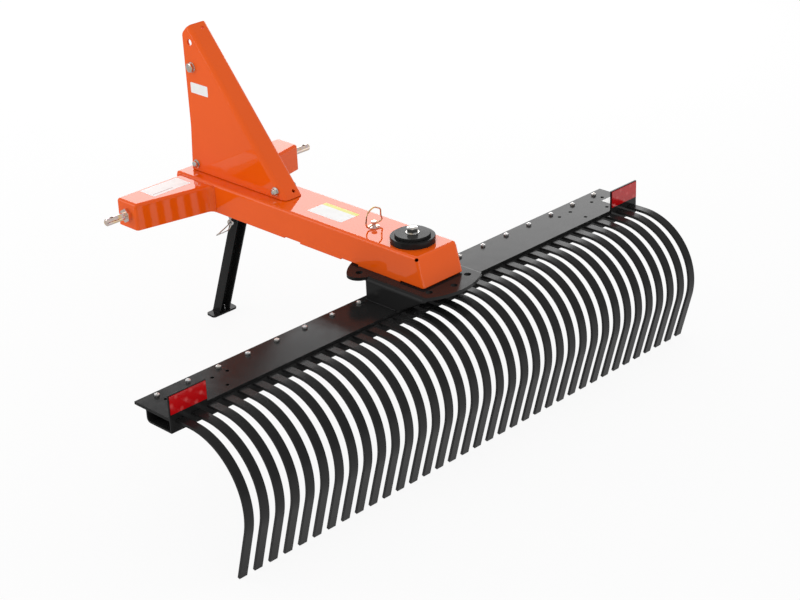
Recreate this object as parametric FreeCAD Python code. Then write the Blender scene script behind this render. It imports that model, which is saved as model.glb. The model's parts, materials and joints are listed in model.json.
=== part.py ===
import FreeCAD, Part
import math
import os
from FreeCAD import Placement, Rotation, Vector

# Landscape rake for a tractor's three-point hitch, in millimetres.
# Machine frame: X to the right, Y forward, Z up, the tine tips on the line Y = 0, Z = 0.
# The pieces are drawn level in that frame, then tipped by park_tilt so that the tips and the
# stand's foot rest on the floor, and moved so that Y = 0 is halfway along the machine.

# ---- driving dimensions ------------------------------------------------------------------

# fits and steel
steel_t = 6.35          # folded and flat steel of the frame
bend_r = 9.0            # outer bend radius of that steel
fit_gap = 0.08          # radial clearance of pins and shafts that turn
face_gap = 0.3          # clearance between flat faces that turn on each other
bolt_gap = 0.4          # radial clearance of bolts in their holes
park_tilt = 3.2         # degrees, nose down, when it stands on tines and stand

# tines
pair_count = 18
tine_pitch = 50.8
tine_w = 25.4
tine_t = 7.9
tine_bend_r = 190.5     # outer face of the big bend
tine_leg_l = 147.9      # straight leg below the bend
tine_leg_lean = 15.3    # degrees from upright, tip forward
root_front_gap = 4.5    # root's end behind the rake plate's front edge
clamp_depth = 30.0
clamp_t = 6.0
tine_bolt_setback = 21.7
tine_bolt_d = 7.9
tine_bolt_af = 12.7
tine_bolt_head_h = 5.5

# rake body
rake_end_gap = 4.8       # plate's end past the outer tine's half pitch
rake_plate_w = 138.6
rake_plate_t = 7.9
rake_plate_rear_y = 200.9
slot_gap = 0.5
channel_t = 5.0
channel_depth = 33.5
channel_front_gap = 46.0  # channel wall behind the rake plate's front edge
channel_bend_r = 13.0
rear_plate_t = 5.0
reflector_post_w = 120.0
reflector_post_h = 64.0   # above the rake plate
reflector_edge = 2.0
reflector_h = 51.0
reflector_t = 2.0
accessory_hole_d = 11.0
accessory_pitch_x = 50.8
accessory_pitch_y = 60.0
accessory_rear_gap = 27.0
accessory_insets = (81.0, 233.4)   # hole groups, from the rake's end
accessory_shift = 5.0    # of both ends' holes, to the right

# saddle and pivot
pivot_y = 250.0
saddle_h = 66.4
saddle_r = 188.0
saddle_w = 240.0
saddle_t = 9.5
saddle_bend_r = 14.0
saddle_front = 70.0      # front edge of the side flanges, ahead of the pivot
index_r = 152.4
index_hole_d = 20.2
forward_stops = (-45.0, -22.5, 0.0, 22.5, 45.0)
reverse_stops = (150.0, 180.0, 210.0)
pivot_post_d = 88.0
sleeve_t = 10.0
disc_large_d = 127.0
disc_large_t = 18.0
disc_small_d = 101.6
disc_small_t = 8.0
pivot_bolt_d = 19.0
pivot_bolt_af = 28.6
pivot_bolt_head_h = 12.0
pivot_bolt_l = 40.0
pivot_washer_d = 38.0
pivot_washer_t = 3.7

# beam
beam_w = 158.0
beam_h = 89.0
beam_rear_y = 135.0
beam_rear_lean = 15.0
relief_hole_d = 10.0
relief_hole_drop = 3.5   # below the corner of the pan
beam_lift = 4.5          # lower edge stands clear of the saddle over these lengths
beam_lifts = ((100.0, 227.0), (391.0, 462.0), (632.0, 700.0))
bottom_plate_front_y = 535.0

# hitch
hitch_y = 1117.0
beam_nose = 71.0         # beam's end ahead of the hitch line
arm_span = 646.0
arm_front = 49.0
arm_rear = 41.0
arm_rear_slope = 0.2212
arm_root_r = 20.0
lower_pin_d = 22.2
lower_pin_l = 69.0
lower_pin_tip = 3.0
lower_collar_af = 38.0
lower_collar_t = 12.0
lower_thread_d = 28.0
lower_nut_af = 41.0
lower_nut_h = 20.0
linch_hole_d = 11.0
linch_hole_setback = 48.0

# mast
mast_height = 457.2      # upper hitch hole above the lower pins
mast_w = 72.0
mast_bend_r = 15.0
mast_foot_gap = 2.0
mast_front_foot = 38.5   # front edge ahead of the hitch line at the foot,
mast_front_kink = 28.5   # at the kink
mast_front_top = 31.0    # and at the top
mast_kink_h = 143.0
mast_top_rise = 23.0     # corner of the sloping top, above the upper hitch hole
mast_top_slope = 45.0
mast_top_r = 22.0
mast_back_setback = 41.0 # back's face behind the upper hitch hole, at its height
mast_back_lean = 40.0
upper_hole_d = 20.0
spacer_drop = 76.2
spacer_d = 27.0
mast_bolt_d = 15.9
mast_bolt_af = 23.8
mast_bolt_head_h = 8.7
mast_nut_h = 13.5
mast_washer_d = 28.0
mast_washer_t = 2.5
mast_bolt_h = 23.0
mast_rear_bolt_gap = 41.0   # ahead of the back's foot
mast_front_bolt_lead = 16.0 # ahead of the hitch line
lug_l = 56.0
lug_h = 46.0
lug_gap = 0.2
jig_hole_d = 11.0
jig_hole_x = 10.0
jig_low_rise = 16.0      # above the mast's foot
jig_high_rise = 36.4     # above the upper hitch hole

# index pin
index_pin_d = 19.0
index_collar_d = 33.0
index_collar_t = 3.0
index_neck_d = 11.6
index_neck_h = 11.5
index_head_d = 17.4
index_head_h = 4.5

# stand
stand_pin_y = 990.5
stand_pin_drop = 25.1    # below the beam
stand_lean = 20.0
leg_w = 44.4
leg_d = 29.3
leg_t = 5.0
foot_w = 98.0
foot_d = 38.0
foot_t = 6.0
foot_r = 10.0
foot_back = 2.5
leg_notch_d = 12.0       # drain notch in the right wall, above the foot
leg_notch_h = 7.0
leg_notch_out = 6.5
stand_pin_d = 12.7
stand_side_gap = 0.6
stand_lug_t = 6.35
stand_lug_d = 40.0
stand_pin_end = 12.0
stand_pin_head_d = 19.0
stand_pin_head_h = 6.0
stand_base_l = 80.0

# ---- derived places ----------------------------------------------------------------------

lean = math.radians(tine_leg_lean)
leg_top = (-tine_leg_l * math.sin(lean), tine_leg_l * math.cos(lean))
bend_y = leg_top[0] + tine_bend_r * math.cos(lean)
bend_z = leg_top[1] + tine_bend_r * math.sin(lean)
root_z = bend_z + tine_bend_r
rake_top_z = root_z + rake_plate_t
rake_front_y = rake_plate_rear_y + rake_plate_w
channel_y = rake_front_y - channel_front_gap
channel_z = root_z - channel_depth
tine_bolt_y = rake_front_y - tine_bolt_setback
rake_length = pair_count * 2 * tine_pitch + 2 * rake_end_gap
half_rake = rake_length / 2
saddle_z = rake_top_z + saddle_h
half_saddle = saddle_w / 2
beam_z = saddle_z + face_gap
beam_top_z = beam_z + beam_h
half_beam = beam_w / 2
beam_front_y = hitch_y + beam_nose
arm_top_z = beam_top_z - steel_t
lower_pin_z = (beam_z + arm_top_z) / 2
upper_hole_z = lower_pin_z + mast_height
mast_foot_z = beam_top_z + mast_foot_gap
half_mast = mast_w / 2
mast_back_foot_y = hitch_y - mast_back_setback \
    - (upper_hole_z - mast_foot_z) * math.tan(math.radians(mast_back_lean))
mast_bolt_ys = (mast_back_foot_y + mast_rear_bolt_gap, hitch_y + mast_front_bolt_lead)
jig_hole_zs = (mast_foot_z + jig_low_rise, upper_hole_z + jig_high_rise)
index_pin_y = pivot_y + index_r
lower_pin_spread = arm_span + 2 * lower_collar_t
stand_pin_z = beam_z - stand_pin_drop
tilt = math.radians(park_tilt)
rear_y = bend_y * math.cos(tilt) + bend_z * math.sin(tilt) - tine_bend_r
nose_y = (beam_front_y - bend_r) * math.cos(tilt) + (beam_top_z - bend_r) * math.sin(tilt) + bend_r
origin_y = (rear_y + nose_y) / 2

RIGHT = Vector(1, 0, 0)
FORWARD = Vector(0, 1, 0)
UP = Vector(0, 0, 1)


# ---- helpers -----------------------------------------------------------------------------

def box(x0, x1, y0, y1, z0, z1):
    return Part.makeBox(x1 - x0, y1 - y0, z1 - z0, Vector(x0, y0, z0))


def rod(diameter, start, axis, length):
    return Part.makeCylinder(diameter / 2, length, Vector(*start), axis)


def hexagon(across_flats, start, axis, length):
    radius = across_flats / math.sqrt(3)
    turn = Rotation(UP, axis)
    corners = [Vector(*start) + turn.multVec(Vector(radius * math.cos(k * math.pi / 3),
                                                    radius * math.sin(k * math.pi / 3), 0))
               for k in range(7)]
    return Part.Face(Part.makePolygon(corners)).extrude(axis * length)


def prism_x(points, x0, x1):
    """Outline of (y, z) points drawn out along X."""
    corners = [Vector(x0, y, z) for y, z in points + points[:1]]
    return Part.Face(Part.makePolygon(corners)).extrude(RIGHT * (x1 - x0))


def prism_z(points, z0, z1):
    """Outline of (x, y) points drawn out along Z."""
    corners = [Vector(x, y, z0) for x, y in points + points[:1]]
    return Part.Face(Part.makePolygon(corners)).extrude(UP * (z1 - z0))


def line(a, b):
    return Part.LineSegment(a, b).toShape()


def arc(a, middle, b):
    return Part.Arc(a, middle, b).toShape()


def face_of(edges):
    return Part.Face(Part.Wire(edges))


def edges_where(shape, test):
    return [edge for edge in shape.Edges if test(edge)]


def along(edge, axis):
    """True for a straight edge that runs along the axis."""
    if len(edge.Vertexes) < 2 or not isinstance(edge.Curve, Part.Line):
        return False
    run = edge.Vertexes[1].Point - edge.Vertexes[0].Point
    return run.normalize().cross(axis).Length < 1e-4


def fuse_all(shapes):
    whole = shapes[0].fuse(shapes[1:]) if len(shapes) > 1 else shapes[0]
    return whole.removeSplitter()


def mirrored(shape):
    return shape.mirror(Vector(0, 0, 0), RIGHT)


# ---- rake: tines, plates, saddle and pivot -----------------------------------------------

def pair_x(index):
    return (index - (pair_count - 1) / 2) * 2 * tine_pitch


def tine(x):
    """One flat spring tine: root under the rake plate, big bend, straight leg."""
    inner_r = tine_bend_r - tine_t
    x0 = x - tine_w / 2
    root_y = rake_front_y - root_front_gap
    foot = (math.cos(lean), math.sin(lean))
    middle = math.radians((90 - tine_leg_lean) / 2)

    def on_bend(radius, up):
        return Vector(x0, bend_y - radius * math.cos(up), bend_z + radius * math.sin(up))

    tip_out = Vector(x0, 0, 0)
    tip_in = Vector(x0, tine_t * foot[0], tine_t * foot[1])
    edges = [
        line(Vector(x0, root_y, root_z), on_bend(tine_bend_r, math.pi / 2)),
        arc(on_bend(tine_bend_r, math.pi / 2), on_bend(tine_bend_r, middle),
            on_bend(tine_bend_r, -lean)),
        line(on_bend(tine_bend_r, -lean), tip_out),
        line(tip_out, tip_in),
        line(tip_in, on_bend(inner_r, -lean)),
        arc(on_bend(inner_r, -lean), on_bend(inner_r, middle), on_bend(inner_r, math.pi / 2)),
        line(on_bend(inner_r, math.pi / 2), Vector(x0, root_y, root_z - tine_t)),
        line(Vector(x0, root_y, root_z - tine_t), Vector(x0, root_y, root_z)),
    ]
    return face_of(edges).extrude(RIGHT * tine_w)


def tine_pair(index):
    """Two tines joined by the clamp plate that holds their roots up."""
    x = pair_x(index)
    reach = tine_pitch / 2 + tine_w / 2
    clamp_z = root_z - tine_t
    clamp = box(x - reach, x + reach, tine_bolt_y - clamp_depth / 2, tine_bolt_y + clamp_depth / 2,
                clamp_z - clamp_t, clamp_z)
    clamp = clamp.cut(rod(tine_bolt_d + 2 * bolt_gap, (x, tine_bolt_y, clamp_z - 2 * clamp_t), UP,
                          3 * clamp_t))
    return fuse_all([tine(x - tine_pitch / 2), tine(x + tine_pitch / 2), clamp])


def tine_bolts():
    """Hexagon bolts through rake plate and clamps, with their nuts, one for each pair."""
    bolts = []
    low = root_z - tine_t - clamp_t
    for index in range(pair_count):
        spot = (pair_x(index), tine_bolt_y)
        head = hexagon(tine_bolt_af, (*spot, rake_top_z), UP, tine_bolt_head_h)
        nut = hexagon(tine_bolt_af, (*spot, low - tine_bolt_d), UP, tine_bolt_d)
        shank = rod(tine_bolt_d, (*spot, low - 1.4 * tine_bolt_d), UP,
                    rake_top_z - low + 1.5 * tine_bolt_d)
        bolts.append(fuse_all([head, nut, shank]))
    return Part.makeCompound(bolts)


def rake_plate():
    plate = box(-half_rake, half_rake, rake_plate_rear_y, rake_front_y, root_z, rake_top_z)
    drill_z = root_z - rake_plate_t
    holes = [rod(tine_bolt_d + 2 * bolt_gap, (pair_x(k), tine_bolt_y, drill_z), UP, 3 * rake_plate_t)
             for k in range(pair_count)]
    rear_row = rake_plate_rear_y + accessory_rear_gap
    for inset in accessory_insets:
        centre = half_rake - inset
        for x in (centre - accessory_pitch_x / 2, centre + accessory_pitch_x / 2):
            for y in (rear_row, rear_row + accessory_pitch_y):
                if inset == max(accessory_insets) and x < centre and y == rear_row:
                    continue
                holes += [rod(accessory_hole_d, (side * x + accessory_shift, y, drill_z), UP,
                              3 * rake_plate_t)
                          for side in (-1, 1)]
    return plate.cut(holes)


def slot_cutters(y0, y1):
    """Slots that let every tine root pass under the rake plate."""
    half_slot = tine_w / 2 + slot_gap
    slots = []
    for index in range(pair_count):
        for x in (pair_x(index) - tine_pitch / 2, pair_x(index) + tine_pitch / 2):
            slots.append(box(x - half_slot, x + half_slot, y0, y1,
                             root_z - tine_t - slot_gap, root_z + slot_gap))
    return slots


def rake_channel():
    """Front wall and floor below the rake plate, bent from one strip."""
    profile = prism_x([(rake_plate_rear_y, channel_z), (channel_y, channel_z), (channel_y, root_z),
                       (rake_plate_rear_y, root_z)], -half_rake, half_rake)
    bend = edges_where(profile, lambda e: along(e, RIGHT) and abs(e.CenterOfMass.y - channel_y) < 1e-3
                       and abs(e.CenterOfMass.z - channel_z) < 1e-3)
    outer = profile.makeFillet(channel_bend_r, bend)
    hollow = prism_x([(rake_plate_rear_y - 1, channel_z + channel_t),
                      (channel_y - channel_t, channel_z + channel_t),
                      (channel_y - channel_t, root_z + 1), (rake_plate_rear_y - 1, root_z + 1)],
                     -half_rake - 1, half_rake + 1)
    inner_bend = edges_where(hollow, lambda e: along(e, RIGHT)
                             and abs(e.CenterOfMass.y - channel_y + channel_t) < 1e-3
                             and abs(e.CenterOfMass.z - channel_z - channel_t) < 1e-3)
    hollow = hollow.makeFillet(channel_bend_r - channel_t, inner_bend)
    return outer.cut(hollow).cut(slot_cutters(channel_y - 2 * channel_t, channel_y + channel_t))


def rake_rear_plate():
    """Slotted rear wall whose two ends rise above the rake plate and carry the reflectors."""
    y0 = rake_plate_rear_y - rear_plate_t
    wall = box(-half_rake, half_rake, y0, rake_plate_rear_y, channel_z, root_z)
    posts = [box(side_x, side_x + reflector_post_w, y0, rake_plate_rear_y, channel_z,
                 rake_top_z + reflector_post_h)
             for side_x in (-half_rake, half_rake - reflector_post_w)]
    wall = fuse_all([wall] + posts)
    return wall.cut(slot_cutters(y0 - slot_gap, rake_plate_rear_y + slot_gap))


def reflector(side):
    x0 = half_rake - reflector_post_w + reflector_edge
    x1 = half_rake - reflector_edge
    y1 = rake_plate_rear_y - rear_plate_t
    z1 = rake_top_z + reflector_post_h - reflector_edge
    shape = box(x0, x1, y1 - reflector_t, y1, z1 - reflector_h, z1)
    return mirrored(shape) if side < 0 else shape


def saddle():
    """Bent turntable plate: top with index holes, front lobes and two side flanges."""
    under = saddle_z - saddle_t
    front = pivot_y + saddle_front
    rear = pivot_y - saddle_r
    section = box(-half_saddle, half_saddle, rear - 1, front, rake_top_z, saddle_z)
    bends = edges_where(section, lambda e: along(e, FORWARD) and e.CenterOfMass.z > saddle_z - 1)
    section = section.makeFillet(saddle_bend_r, bends)
    inside = box(-half_saddle + saddle_t, half_saddle - saddle_t, rear - 2, front + 1,
                 rake_top_z - 1, under)
    inner_bends = edges_where(inside, lambda e: along(e, FORWARD) and e.CenterOfMass.z > under - 1)
    inside = inside.makeFillet(saddle_bend_r - saddle_t, inner_bends)
    turntable = rod(2 * saddle_r, (0, pivot_y, rake_top_z - 1), UP, saddle_h + 2)
    corner_y = pivot_y - math.sqrt(saddle_r ** 2 - half_saddle ** 2)
    slant = prism_x([(rear - 2, rake_top_z - 1), (rake_plate_rear_y, rake_top_z - 1),
                     (rake_plate_rear_y, rake_top_z), (corner_y, saddle_z - saddle_bend_r),
                     (rear - 2, saddle_z - saddle_bend_r)], -half_saddle - 1, half_saddle + 1)
    folded = section.cut(inside).common(turntable).cut(slant)

    reach = 2 * saddle_r
    disc = rod(2 * saddle_r, (0, pivot_y, under), UP, saddle_t)
    wedge = prism_z([(0, pivot_y), (reach, pivot_y + reach), (-reach, pivot_y + reach)], under, saddle_z)
    lobe_y = pivot_y + index_r * math.cos(math.radians(forward_stops[-1]))
    lobe_x = index_r * math.sin(math.radians(forward_stops[-1]))
    lobes = [rod(2 * (saddle_r - index_r), (x, lobe_y, under), UP, saddle_t) for x in (-lobe_x, lobe_x)]
    neck = box(-half_saddle, half_saddle, front - 1, lobe_y, under, saddle_z)
    nose = fuse_all([disc.common(wedge), disc.common(neck)] + lobes)
    nose = nose.common(box(-reach, reach, front, pivot_y + reach, under, saddle_z))
    plate = fuse_all([folded, nose])
    holes = []
    for stop in forward_stops + reverse_stops:
        swing = math.radians(stop)
        holes.append(rod(index_hole_d, (index_r * math.sin(swing), pivot_y + index_r * math.cos(swing),
                                        under - 1), UP, saddle_t + 2))
    return plate.cut(holes)


def pivot_post():
    """Round post on the saddle, through the beam's sleeve, tapped for the pivot bolt."""
    top = beam_top_z + face_gap
    post = rod(pivot_post_d, (0, pivot_y, saddle_z), UP, top - saddle_z)
    hole_l = pivot_bolt_l - disc_large_t - disc_small_t - pivot_washer_t
    return post.cut(rod(pivot_bolt_d + 2 * bolt_gap, (0, pivot_y, top - hole_l), UP, hole_l + 1))


def pivot_disc(diameter, thickness, z):
    disc = rod(diameter, (0, pivot_y, z), UP, thickness)
    rim = edges_where(disc, lambda e: e.CenterOfMass.z > z + thickness / 2
                      and abs(e.Length - math.pi * diameter) < 1)
    disc = disc.makeChamfer(min(1.2, thickness / 4), rim)
    return disc.cut(rod(pivot_bolt_d + 2 * bolt_gap, (0, pivot_y, z - 1), UP, thickness + 2))


def pivot_bolt(z):
    washer = rod(pivot_washer_d, (0, pivot_y, z), UP, pivot_washer_t)
    head = hexagon(pivot_bolt_af, (0, pivot_y, z + pivot_washer_t), UP, pivot_bolt_head_h)
    shank = rod(pivot_bolt_d, (0, pivot_y, z + pivot_washer_t - pivot_bolt_l), UP, pivot_bolt_l + 1)
    return fuse_all([washer, head, shank])


# ---- frame: beam, hitch arms, mast, pins -------------------------------------------------

def beam_channel():
    """Pan folded from one plate: top, two sides, front wall and leaning rear wall."""
    rise = beam_h * math.tan(math.radians(beam_rear_lean))
    outer = prism_x([(beam_rear_y, beam_z), (beam_front_y, beam_z), (beam_front_y, beam_top_z),
                     (beam_rear_y + rise, beam_top_z)], -half_beam, half_beam)
    outer = outer.makeFillet(bend_r, edges_where(outer, lambda e: e.CenterOfMass.z > beam_z + 0.1))
    wall = steel_t / math.cos(math.radians(beam_rear_lean))
    drop = steel_t * math.tan(math.radians(beam_rear_lean))
    inside = prism_x([(beam_rear_y + wall, beam_z), (beam_front_y - steel_t, beam_z),
                      (beam_front_y - steel_t, beam_top_z - steel_t),
                      (beam_rear_y + rise + wall - drop, beam_top_z - steel_t)],
                     -half_beam + steel_t, half_beam - steel_t)
    pan = outer.cut(inside)
    cuts = [rod(pivot_post_d + 2 * fit_gap, (0, pivot_y, beam_z), UP, 2 * beam_h),
            rod(index_pin_d + 2 * bolt_gap, (0, index_pin_y, beam_z), UP, 2 * beam_h)]
    for side in (-1, 1):
        for y, turn in ((beam_rear_y + rise, 1), (beam_front_y, -1)):
            inward = Vector(-side, turn, -1).normalize()
            corner = Vector(side * half_beam, y, beam_top_z - relief_hole_drop)
            start = corner - inward * relief_hole_d
            cuts.append(rod(relief_hole_d, start, inward, 4 * relief_hole_d))
    cuts += [box(-beam_w, beam_w, y0, y1, beam_z - 1, beam_z + beam_lift) for y0, y1 in beam_lifts]
    return pan.cut(cuts)


def beam_bottom_plate():
    half = half_beam - steel_t
    start = beam_rear_y + steel_t / math.cos(math.radians(beam_rear_lean)) \
        + steel_t * math.tan(math.radians(beam_rear_lean))
    plate = box(-half, half, start, bottom_plate_front_y, beam_z, beam_z + steel_t)
    return plate.cut([rod(pivot_post_d + 2 * fit_gap, (0, pivot_y, beam_z - 1), UP, steel_t + 2),
                      rod(index_pin_d + 2 * bolt_gap, (0, index_pin_y, beam_z - 1), UP, steel_t + 2)])


def pivot_sleeve():
    """Bearing tube welded between the beam's top and its bottom plate."""
    z0 = beam_z + steel_t
    z1 = beam_top_z - steel_t
    tube = rod(pivot_post_d + 2 * sleeve_t, (0, pivot_y, z0), UP, z1 - z0)
    return tube.cut(rod(pivot_post_d + 2 * fit_gap, (0, pivot_y, z0 - 1), UP, z1 - z0 + 2))


def arm_outline(wall, z):
    """Plan of the right arm, or of the space inside its wall."""
    tip_x = arm_span / 2 - wall
    front_y = hitch_y + arm_front - wall
    scale = math.hypot(1, arm_rear_slope)
    centre_x = half_beam + arm_root_r

    def rear_line(x):
        return hitch_y - arm_rear - arm_rear_slope * (arm_span / 2 - x) + wall * scale

    centre_y = rear_line(centre_x) - (arm_root_r + wall) * scale
    radius = arm_root_r + wall
    slope_end = Vector(centre_x - radius * arm_rear_slope / scale, centre_y + radius / scale, z)
    root_y = centre_y + math.sqrt(radius ** 2 - arm_root_r ** 2)
    root = Vector(half_beam, root_y, z)
    turn = (math.atan2(slope_end.y - centre_y, slope_end.x - centre_x)
            + math.atan2(root.y - centre_y, root.x - centre_x) % (2 * math.pi)) / 2
    middle = Vector(centre_x + radius * math.cos(turn), centre_y + radius * math.sin(turn), z)
    inner_x = half_beam - wall
    corners = [Vector(inner_x, root_y, z), Vector(inner_x, front_y, z), Vector(tip_x, front_y, z),
               Vector(tip_x, rear_line(tip_x), z)]
    edges = [line(corners[0], corners[1]), line(corners[1], corners[2]), line(corners[2], corners[3]),
             line(corners[3], slope_end), arc(slope_end, middle, root)]
    if wall > 0:
        edges.append(line(root, corners[0]))
    return face_of(edges)


def hitch_arm(side):
    """Folded arm, open below, whose rear wall flares into the beam's side."""
    solid = arm_outline(0, beam_z).extrude(UP * (arm_top_z - beam_z))
    front_y = hitch_y + arm_front
    tip_x = arm_span / 2

    def folded(edge):
        on_root = abs(edge.CenterOfMass.x - half_beam) < 0.1
        top = edge.CenterOfMass.z > arm_top_z - 0.1 and not on_root
        upright = along(edge, UP) and abs(edge.CenterOfMass.x - tip_x) < 0.1
        return top or upright

    solid = solid.makeFillet(bend_r, edges_where(solid, folded))
    inside = arm_outline(steel_t, beam_z - 1).extrude(UP * (arm_top_z - steel_t - beam_z + 1))
    solid = solid.cut(inside)
    hole = rod(lower_thread_d, (tip_x - 2 * steel_t, hitch_y, lower_pin_z), RIGHT, 4 * steel_t)
    solid = solid.cut(hole)
    return mirrored(solid) if side < 0 else solid


def lower_pin(side):
    """Lower hitch pin: threaded end and nut inside the arm, hexagon collar, shank, linch-pin hole."""
    tip_x = arm_span / 2
    shoulder = lower_pin_spread / 2
    start = (shoulder, hitch_y, lower_pin_z)
    shank = rod(lower_pin_d, start, RIGHT, lower_pin_l)
    end = edges_where(shank, lambda e: e.CenterOfMass.x > shoulder + lower_pin_l - 0.1
                      and e.Length > 3 * lower_pin_d)
    shank = shank.makeChamfer(lower_pin_tip, end)
    collar = hexagon(lower_collar_af, (tip_x, hitch_y, lower_pin_z), RIGHT, shoulder - tip_x)
    nut_x = tip_x - steel_t - lower_nut_h
    nut = hexagon(lower_nut_af, (nut_x, hitch_y, lower_pin_z), RIGHT, lower_nut_h)
    thread = rod(lower_thread_d, (nut_x - 4, hitch_y, lower_pin_z), RIGHT, tip_x - nut_x + 5)
    pin = fuse_all([shank, collar, nut, thread])
    pin = pin.cut(rod(linch_hole_d, (shoulder + linch_hole_setback, hitch_y, lower_pin_z - lower_pin_d),
                      UP, 2 * lower_pin_d))
    return mirrored(pin) if side < 0 else pin


def mast_space(gap):
    """Space between the mast's side plates, gap away from the folded plate."""
    half = half_mast - steel_t - gap
    run = math.tan(math.radians(mast_back_lean))
    inset = (steel_t + gap) / math.cos(math.radians(mast_back_lean))
    low, high = beam_top_z - steel_t, upper_hole_z + mast_w
    far = hitch_y + mast_height
    space = prism_x([(mast_back_foot_y + inset + (low - mast_foot_z) * run, low), (far, low), (far, high),
                     (mast_back_foot_y + inset + (high - mast_foot_z) * run, high)], -half, half)
    back = edges_where(space, lambda e: not along(e, RIGHT) and not along(e, FORWARD)
                       and not along(e, UP))
    return space.makeFillet(mast_bend_r - steel_t, back)


def mast_block():
    """Outline of the mast at its full width, with the two long bends rounded."""
    run = math.tan(math.radians(mast_back_lean))
    slope = math.tan(math.radians(mast_top_slope))
    front = hitch_y + mast_front_top
    corner_z = upper_hole_z + mast_top_rise
    # the sloping top meets the leaning back where both lines hold
    top_z = (front + corner_z / slope - mast_back_foot_y + mast_foot_z * run) / (run + 1 / slope)
    top_y = mast_back_foot_y + (top_z - mast_foot_z) * run
    outline = [(front, corner_z), (top_y, top_z), (mast_back_foot_y, mast_foot_z),
               (hitch_y + mast_front_foot, mast_foot_z),
               (hitch_y + mast_front_kink, beam_top_z + mast_kink_h)]
    block = prism_x(outline, -half_mast, half_mast)
    corner = edges_where(block, lambda e: along(e, RIGHT) and abs(e.CenterOfMass.z - corner_z) < 0.1)
    block = block.makeFillet(mast_top_r, corner)
    middle_y = (top_y + mast_back_foot_y) / 2
    back = edges_where(block, lambda e: e.Length > mast_height and abs(e.CenterOfMass.y - middle_y) < 1)
    return block.makeFillet(mast_bend_r, back)


def mast():
    shell = mast_block().cut(mast_space(0))
    cuts = [rod(upper_hole_d, (-mast_w, hitch_y, upper_hole_z), RIGHT, 2 * mast_w),
            rod(mast_bolt_d + 2 * bolt_gap, (-mast_w, hitch_y, upper_hole_z - spacer_drop), RIGHT,
                2 * mast_w)]
    cuts += [rod(mast_bolt_d + 2 * bolt_gap, (-mast_w, y, beam_top_z + mast_bolt_h), RIGHT, 2 * mast_w)
             for y in mast_bolt_ys]
    turn = math.radians(mast_back_lean)
    for z in jig_hole_zs:
        y = mast_back_foot_y + (z - mast_foot_z) * math.tan(turn)
        into = Vector(0, math.cos(turn), -math.sin(turn))
        cuts.append(rod(jig_hole_d, Vector(jig_hole_x, y, z) - into * 2 * steel_t, into, 4 * steel_t))
    return shell.cut(cuts)


def mast_lugs():
    """Four upright lugs on the beam, inside the mast, that its lower bolts pass through."""
    half = half_mast - steel_t - lug_gap
    lugs = []
    for y in mast_bolt_ys:
        for side in (-1, 1):
            inner, outer = sorted((side * half, side * (half - steel_t)))
            lug = box(inner, outer, y - lug_l / 2, y + lug_l / 2, beam_top_z, beam_top_z + lug_h)
            lug = lug.common(mast_space(lug_gap))
            lug = lug.cut(rod(mast_bolt_d + 2 * bolt_gap, (-mast_w, y, beam_top_z + mast_bolt_h), RIGHT,
                              2 * mast_w))
            lugs.append(lug)
    return Part.makeCompound(lugs)


def cross_bolt(y, z):
    """Bolt through the mast with a washer at each end, head on the left, nut on the right."""
    grip = half_mast + mast_washer_t
    head = hexagon(mast_bolt_af, (-grip - mast_bolt_head_h, y, z), RIGHT, mast_bolt_head_h)
    nut = hexagon(mast_bolt_af, (grip, y, z), RIGHT, mast_nut_h)
    washers = [rod(mast_washer_d, (x, y, z), RIGHT, mast_washer_t) for x in (-grip, half_mast)]
    shank = rod(mast_bolt_d, (-grip - 1, y, z), RIGHT, 2 * grip + mast_nut_h + 4)
    return fuse_all([head, nut, shank] + washers)


def mast_bolts():
    bolts = [cross_bolt(y, beam_top_z + mast_bolt_h) for y in mast_bolt_ys]
    bolts.append(cross_bolt(hitch_y, upper_hole_z - spacer_drop))
    return Part.makeCompound(bolts)


def mast_spacer():
    half = half_mast - steel_t
    spot = (-half, hitch_y, upper_hole_z - spacer_drop)
    return rod(spacer_d, spot, RIGHT, 2 * half).cut(rod(mast_bolt_d + 2 * bolt_gap, spot, RIGHT, 2 * half))


def index_pin():
    """Drop pin that locks the swing; its tip stays above the saddle, so that the rake can turn."""
    low = beam_z + 5.0
    spot = (0, index_pin_y)
    neck_z = beam_top_z + index_collar_t
    return fuse_all([rod(index_pin_d, (*spot, low), UP, beam_top_z - low),
                     rod(index_collar_d, (*spot, beam_top_z), UP, index_collar_t),
                     rod(index_neck_d, (*spot, neck_z), UP, index_neck_h),
                     rod(index_head_d, (*spot, neck_z + index_neck_h), UP, index_head_h)])


# ---- stand -------------------------------------------------------------------------------

def on_leg(down, out):
    """Point (y, z) that far down the leg from its pin, and that far to its front."""
    turn = math.radians(stand_lean)
    return (stand_pin_y + down * math.sin(turn) + out * math.cos(turn),
            stand_pin_z - down * math.cos(turn) + out * math.sin(turn))


def from_floor(shape):
    """Shape drawn on the level floor, turned into the machine frame."""
    shape = shape.copy()
    shape.rotate(Vector(0, 0, 0), RIGHT, park_tilt)
    return shape


def foot_level(height):
    """How far down the leg's axis lies that height above the floor."""
    turn = math.radians(stand_lean)
    slope = math.tan(tilt)
    gap = stand_pin_z - stand_pin_y * slope - height / math.cos(tilt)
    return gap / (math.cos(turn) + math.sin(turn) * slope)


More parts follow.
